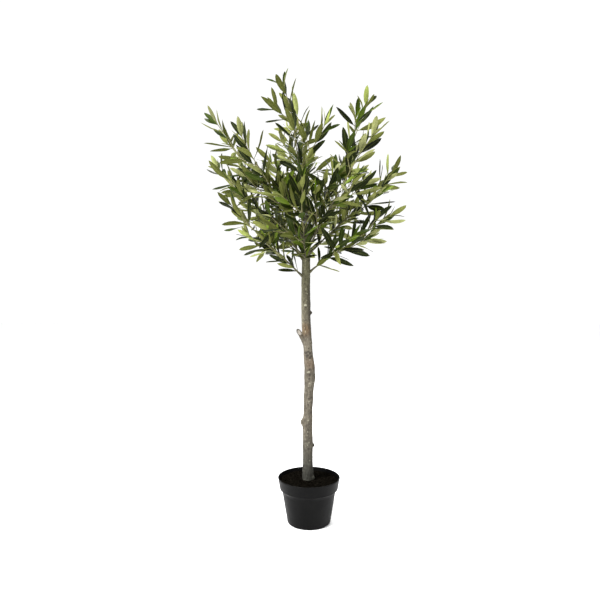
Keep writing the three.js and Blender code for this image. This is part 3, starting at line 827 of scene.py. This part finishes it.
# Whether each corner of a CAD shoot is sharp: four triangles share it, and their angles there come to little.
def sharpCorners(points, triangles):
    corner = points[triangles]
    ahead = unit(np.roll(corner, -1, 1) - corner)
    behind = unit(np.roll(corner, 1, 1) - corner)
    angle = np.arccos(np.clip((ahead * behind).sum(-1), -1, 1))
    total = np.bincount(triangles.ravel(), angle.ravel(), len(points))
    uses = np.bincount(triangles.ravel(), minlength=len(points))
    return (total < leaf["sharp"]) & (uses == 4)


# The blades of a CAD shoot. A tip is a sharp corner far from its neighbours; the other corners of its blade are
# found through the triangles they share with it. Each row holds corner numbers: the foot's lower left, lower
# right, upper right and upper left, then first left, second left, tip, second right and first right.
def readBlades(points, triangles):
    corner = points[triangles]
    shortest = np.full(len(points), 1.0)
    for k in range(3):
        length = np.linalg.norm(corner[:, k] - corner[:, (k + 1) % 3], axis=1)
        np.minimum.at(shortest, triangles[:, k], length)
        np.minimum.at(shortest, triangles[:, (k + 1) % 3], length)
    tips = np.flatnonzero(sharpCorners(points, triangles) & (shortest > leaf["tipEdge"]))
    around = {}
    for triangle in triangles.tolist():
        for number in triangle:
            around.setdefault(number, []).append(triangle)

    def third(one, two, *known):
        # the last corner of the triangle that two corners share, apart from those that are known
        rest = [sum(t) - one - two for t in around[one] if two in t]
        return [n for n in rest if n not in known][0]

    blades = []
    for tip in tips.tolist():
        near = {n for t in around[tip] for n in t if n != tip}
        highLeft, lowLeft = sorted(near, key=lambda n: np.linalg.norm(points[n] - points[tip]))[2:]
        turned = [t[t.index(tip) + 1:] + t[:t.index(tip)] for t in around[tip] if highLeft in t]
        left = [t[1] for t in turned if t[0] == highLeft][0]
        right = [t[0] for t in turned if t[1] == highLeft][0]
        firstLeft = third(highLeft, left, tip)
        firstRight = third(highLeft, right, tip)
        highRight = third(highLeft, firstRight, right)
        lowRight = third(lowLeft, firstRight, right)
        blades.append((lowLeft, lowRight, highRight, highLeft, firstLeft, left, tip, right, firstRight))
    return np.array(blades)


# The lines that the fine leaves follow, from the CAD blades: their feet, the two vectors of the curve
# foot + ahead * s + bend * s^2, the direction across, and the half width.
def leafLines(points, blades):
    foot = points[blades[:, :4]].mean(1)
    left, tip, right = points[blades[:, 4]], points[blades[:, 6]], points[blades[:, 8]]
    share = leaf["cadShare"]
    bend = ((left + right) / 2 - foot - share * (tip - foot)) / (share * share - share)
    half = np.linalg.norm(right - left, axis=1) / 2 / leaf["cadWidth"] * leaf["narrow"]
    return foot, (tip - foot - bend) * leaf["longer"], bend * leaf["longer"], unit(right - left), half


# Leaves on such lines. At a share s of its length and v from -1 to 1 half widths across, a blade's upper side
# stands fold * |v| - roll * |v|^3 + wave * v half widths above its line, and its underside follows at the leaf's
# thickness there. The section closes round both edges, and the leaf ends in one point. The line sways and dips
# by a half sine wave, and the section twists evenly along it, each leaf a little on its own.
def makeLeaves(name, lines, random):
    foot, ahead, bend, across, half = lines
    length = np.linalg.norm(ahead, axis=1)[:, None]
    half = half[:, None]
    count = len(foot)

    def draw(low, high):
        return random.uniform(low, high, (count, 1))

    s = np.array(leaf["rows"])[None]
    moved = np.clip(s, 0, 1) ** draw(*leaf["widest"])
    width = np.maximum(half * np.interp(moved, leaf["rows"], leaf["widths"]), leaf["petioleWidth"] * (s < 0.99))
    sway = length * draw(*leaf["sway"]) * np.sin(math.pi * np.clip(s, 0, 1))
    dip = length * draw(*leaf["dip"]) * np.sin(math.pi * np.clip(s, 0, 1))
    across = across[:, None]
    normal = np.cross(unit(ahead)[:, None], across)
    line = foot[:, None] + ahead[:, None] * s[..., None] + bend[:, None] * (s * s)[..., None]
    line = line + across * sway[..., None] + normal * dip[..., None]
    along = unit(np.gradient(line, axis=1))
    across = unit(across - (across * along).sum(-1, keepdims=True) * along)
    normal = np.cross(along, across)
    twist = draw(*leaf["twist"]) * s
    side = across * np.cos(twist)[..., None] + normal * np.sin(twist)[..., None]
    up = np.cross(along, side)

    v = np.array([-1, -0.5, 0, 0.5, 1])
    wave = leaf["wave"] * np.sin(draw(0, 6) + s * draw(9, 17))[..., None] * v
    fold = draw(*leaf["foldSpread"])[..., None] * leaf["fold"]
    roll = draw(*leaf["foldSpread"])[..., None] * leaf["roll"]
    blade = np.clip((s - 0.07) / 0.1, 0, 1)[..., None]  # the stalk below the blade is flat
    lift = (fold * np.abs(v) - roll * np.abs(v) ** 3 + wave) * blade
    spread = side[:, :, None] * v[:, None] + up[:, :, None] * lift[..., None]
    upper = line[:, :, None] + spread * width[..., None, None]
    thick = np.interp(s, *leaf["thickness"])[..., None] * [leaf["edgeThickness"], 1, leaf["edgeThickness"]]
    section = np.concatenate([upper, upper[:, :, 3:0:-1] - up[:, :, None] * thick[..., None]], 2)

    # quads between the rows, which have five points above and three below, and a fan at the tip; two quads and
    # two triangles close the foot
    rows, sides = section.shape[1] - 1, section.shape[2]  # the last row is the tip alone
    places = np.concatenate([section[:, :-1].reshape(count, -1, 3), line[:, -1:]], 1)
    around = np.arange(sides)
    here = np.arange(rows - 1)[:, None] * sides
    after = (around + 1) % sides
    quads = np.stack([here + around, here + around + sides, here + after + sides, here + after], -1)
    quads[:, 4:] = np.roll(quads[:, 4:], -1, axis=2)  # so that both faces are split along the same diagonals
    quads = np.vstack([quads.reshape(-1, 4), [[1, 2, 6, 7], [2, 3, 5, 6]]])
    last = (rows - 1) * sides
    tips = np.stack([last + around, np.full(sides, rows * sides), last + after], -1)
    tips = np.vstack([tips, [[0, 1, 7], [3, 4, 5]]])
    shift = places.shape[1] * np.arange(count)[:, None, None]
    mesh = newMesh(name, places.reshape(-1, 3), (quads + shift).reshape(-1, 4), (tips + shift).reshape(-1, 3))

    # some leaves whose upper side would face inwards have turned over on their stalks
    out = foot + ahead / 2 - leaf["heart"]
    middle = rows // 2
    over = ((normal[:, middle] * out).sum(1) < 0) & (random.random(count) < leaf["turnedOver"])
    under = np.concatenate([np.tile(around > 3, rows - 1), [True, True]])
    tipUnder = np.append(around > 3, [True, True])
    mesh.polygons.foreach_set("material_index", np.concatenate(
        [(under != over[:, None]).ravel(), (tipUnder != over[:, None]).ravel()]).astype(np.int32))

    # the UV map: across and along the leaf, the same above and below
    u = np.append(np.tile([0, 0.25, 0.5, 0.75, 1, 0.75, 0.5, 0.25], rows), 0.5)
    run = np.append(np.repeat(leaf["rows"][:-1], sides), 1.0)
    inLeaf = cornersOf(mesh) % places.shape[1]
    mesh.uv_layers.new(name="leafMap").data.foreach_set("uv", np.stack([u[inLeaf], run[inLeaf]], -1).ravel())

    # a shade for each leaf: short leaves are young and paler, and a few of any length are fresh
    age = np.clip(length[:, 0] / 0.06, 0.5, 1.1)
    shade = np.clip(random.normal(0.42, 0.21, count) + 0.7 * (0.92 - age), 0, 1)
    shade = np.where(random.random(count) < leaf["fresh"], random.uniform(0.85, 1, count), shade)
    addNumbers(mesh, "leafShade", np.repeat(shade, places.shape[1]))
    mesh.set_sharp_from_angle(angle=math.radians(leaf["sharpAngle"]))
    return addPiece(name, mesh, [leafUpper, leafLower], "leaf")


# Points along each leaf's line, foot + ahead * s + bend * s^2, to see how near another leaf comes.
def leafSamples(foot, ahead, bend):
    s = np.array([0.15, 0.3, 0.45, 0.6, 0.8, 1.0])[None, :, None]
    return foot[:, None] + ahead[:, None] * s + bend[:, None] * s * s


# The buds at the ends of a CAD shoot's twigs: a bud is a sharp corner close to its neighbours. Each is given as
# its point and the way it grows, which is away from the middle of those neighbours.
def readBuds(points, triangles):
    found = []
    for bud in np.flatnonzero(sharpCorners(points, triangles)):
        near = np.unique(triangles[(triangles == bud).any(1)])
        centre = points[near[near != bud]].mean(0)
        if np.linalg.norm(points[near] - points[bud], axis=1).max() < leaf["budEdge"]:
            found.append([points[bud], unit(points[bud] - centre)])
    return np.array(found)


twig = {
    "swell": 0.000224,  # the CAD twig's corners move out this far, since rounding draws them in
    "rounding": 2,
}


# The twig of a shoot with its fork: the CAD solid without its blades, with a face over each blade's foot. Its
# triangles are joined in pairs, its corners move out along their normals, and subdivision rounds it.
def makeTwig(name, points, triangles, blades):
    isBlade = np.zeros(len(points), bool)
    isBlade[blades[:, 4:]] = True
    wood = triangles[~isBlade[triangles].any(1)]
    faces = bmesh.new()
    corners = [faces.verts.new(point) for point in points]
    for face in [*wood.tolist(), *blades[:, :4].tolist()]:
        faces.faces.new([corners[n] for n in face])
    bmesh.ops.delete(faces, geom=[v for v in faces.verts if not v.link_faces], context="VERTS")
    bmesh.ops.join_triangles(faces, faces=faces.faces, angle_face_threshold=0.9, angle_shape_threshold=3.1)
    faces.normal_update()
    for corner in faces.verts:
        corner.co += corner.normal * twig["swell"]
    mesh = bpy.data.meshes.new(name)
    faces.to_mesh(mesh)
    faces.free()
    mesh.shade_smooth()
    piece = addPiece(name, mesh, [twigFinish], "bark")
    rounding = piece.modifiers.new("rounding", "SUBSURF")
    rounding.levels = rounding.render_levels = twig["rounding"]
    return piece


leafCount = 0
grown, buds = [], []
for name in sorted(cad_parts):
    if name.startswith("shoot_"):
        points, triangles = merged(name)
        blades = readBlades(points, triangles)
        random = np.random.default_rng([leaf["seed"], int(name[6:8]), ord(name[8])])
        lines = leafLines(points, blades)
        grown.append(leafSamples(*lines[:3]))
        buds.append(readBuds(points, triangles))
        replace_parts(makeLeaves(name + "_leaves", lines, random), name)
        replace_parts(makeTwig(name + "_twig", points, triangles, blades), name)
        leafCount += len(blades)
print("shoots made, with", leafCount, "leaves")


young = {
    "budPair": (0.030, 0.044),  # length of the two leaves at a bud, and of those along a branch
    "branchPair": (0.045, 0.066),
    "branchFrom": 0.22,  # share of the branch where its leaves begin
    "spacing": 0.013,
    "budPitch": (0.3, 0.75),  # how far the leaves lean out from the twig, in radians
    "branchPitch": (0.55, 1.05),
    "slender": 0.1,  # half width as a share of the length
    "room": 0.0035,  # least distance to the leaves that already stand
    "lowest": 0.62,  # no tip hangs below this height
    "seed": 19,
}


# The lines of two leaves that face each other at each place on a twig: they lean out by a pitch, turned round
# the twig by a spin, and their upper sides face the way it grows. A leaf without room is left out.
def pairLines(places, ways, spins, pitch, lengths, random):
    level = unit(np.cross(ways, (0.21, 0.13, 0.97)))
    other = np.cross(ways, level)
    kept = []
    for i, (place, along) in enumerate(zip(places, ways)):
        for turn in (0, math.pi):
            spin = spins[i] + turn + random.uniform(-0.35, 0.35)
            out = level[i] * math.cos(spin) + other[i] * math.sin(spin)
            lean = random.uniform(*pitch)
            ahead = along * math.cos(lean) + out * math.sin(lean)
            upper = unit(along - ahead * (along @ ahead))
            length = random.uniform(*lengths)
            bend = -upper * length * random.uniform(-0.02, 0.16)
            roll = random.uniform(-0.5, 0.5)
            across = np.cross(upper, ahead) * math.cos(roll) + upper * math.sin(roll)
            line = (place, ahead * length, bend, across, length * young["slender"] * random.uniform(0.85, 1.15))
            sample = leafSamples(*(np.array([part]) for part in line[:3]))
            outer = sample[:, 2:].reshape(1, -1, 3)  # the part clear of the twig
            near = np.linalg.norm(np.concatenate(grown).reshape(-1, 1, 3) - outer, axis=-1).min()
            if near > young["room"] and (place + ahead * length + bend)[2] > young["lowest"]:
                grown.append(sample)
                kept.append(line)
    return [np.array(column) for column in zip(*kept)]


# Young leaves: a pair at each bud, and pairs at even steps along each branch, each a quarter turn on from the
# pair before.
def growYoungLeaves():
    random = np.random.default_rng(young["seed"])
    ends = np.concatenate(buds)
    lines = pairLines(ends[:, 0] - ends[:, 1] * 0.003, ends[:, 1], random.uniform(0, math.pi, len(ends)),
                      young["budPitch"], young["budPair"], random)
    makeLeaves("bud_leaves", lines, random)
    total = len(lines[0])
    for name, line in branchLines.items():
        reach = np.concatenate([[0], np.cumsum(np.linalg.norm(np.diff(line[:, :3], axis=0), axis=1))])
        at = np.arange(young["branchFrom"] * reach[-1], reach[-1] - 0.004, young["spacing"])
        at = at + random.uniform(-0.003, 0.003, len(at))
        place, slope = (np.stack([np.interp(at, reach, column) for column in columns.T], -1)
                        for columns in (line[:, :3], np.gradient(line[:, :3], axis=0)))
        spins = random.uniform(0, math.pi) + np.arange(len(at)) * math.pi / 2
        lines = pairLines(place, unit(slope), spins, young["branchPitch"], young["branchPair"], random)
        makeLeaves(name + "_leaves", lines, random)
        total += len(lines[0])
    print("young leaves grown:", total)


growYoungLeaves()


studio = {
    "floorReach": 12,
    "world": 1.05,  # strength of the white surround
    "aim": (0, 0, 0.7),  # what the lights face
    "lights": [  # name, place, size and power
        ("key", (-1.7, -1.5, 2.8), 1.1, 215),
        ("fill", (2.4, -1.6, 1.6), 1.8, 8),
        ("back", (0.5, 1.9, 2.6), 1.3, 60),
    ],
}


# A pale floor under the pot, a white surround and three soft lights.
def addStudio():
    reach = studio["floorReach"]
    corners = [[-reach, -reach, 0], [reach, -reach, 0], [reach, reach, 0], [-reach, reach, 0]]
    floor = addObject("floor", newMesh("floor", corners, [[0, 1, 2, 3]]))
    s = Surface("floor", 0.9, 0.2)
    s.color(s.ramp(s.noise(s.coordinates(), 0.5), (0.3, (0.94, 0.94, 0.94)), (0.7, (0.96, 0.96, 0.96))))
    floor.data.materials.append(s.material)
    world = bpy.data.worlds.new("studio")
    world.use_nodes = True
    world.node_tree.nodes["Background"].inputs["Strength"].default_value = studio["world"]
    world.node_tree.nodes["Background"].inputs["Color"].default_value = (1, 1, 1, 1)
    bpy.context.scene.world = world
    for name, place, size, power in studio["lights"]:
        data = bpy.data.lights.new(name, "AREA")
        data.size, data.energy = size, power
        lamp = addObject(name, data)
        lamp.location = place
        x, y, z = np.subtract(studio["aim"], place)
        lamp.rotation_euler = (math.atan2(math.hypot(x, y), -z), 0, math.atan2(-x, y))
    bpy.context.scene.view_settings.view_transform = "Standard"


addStudio()
bpy.context.view_layer.update()
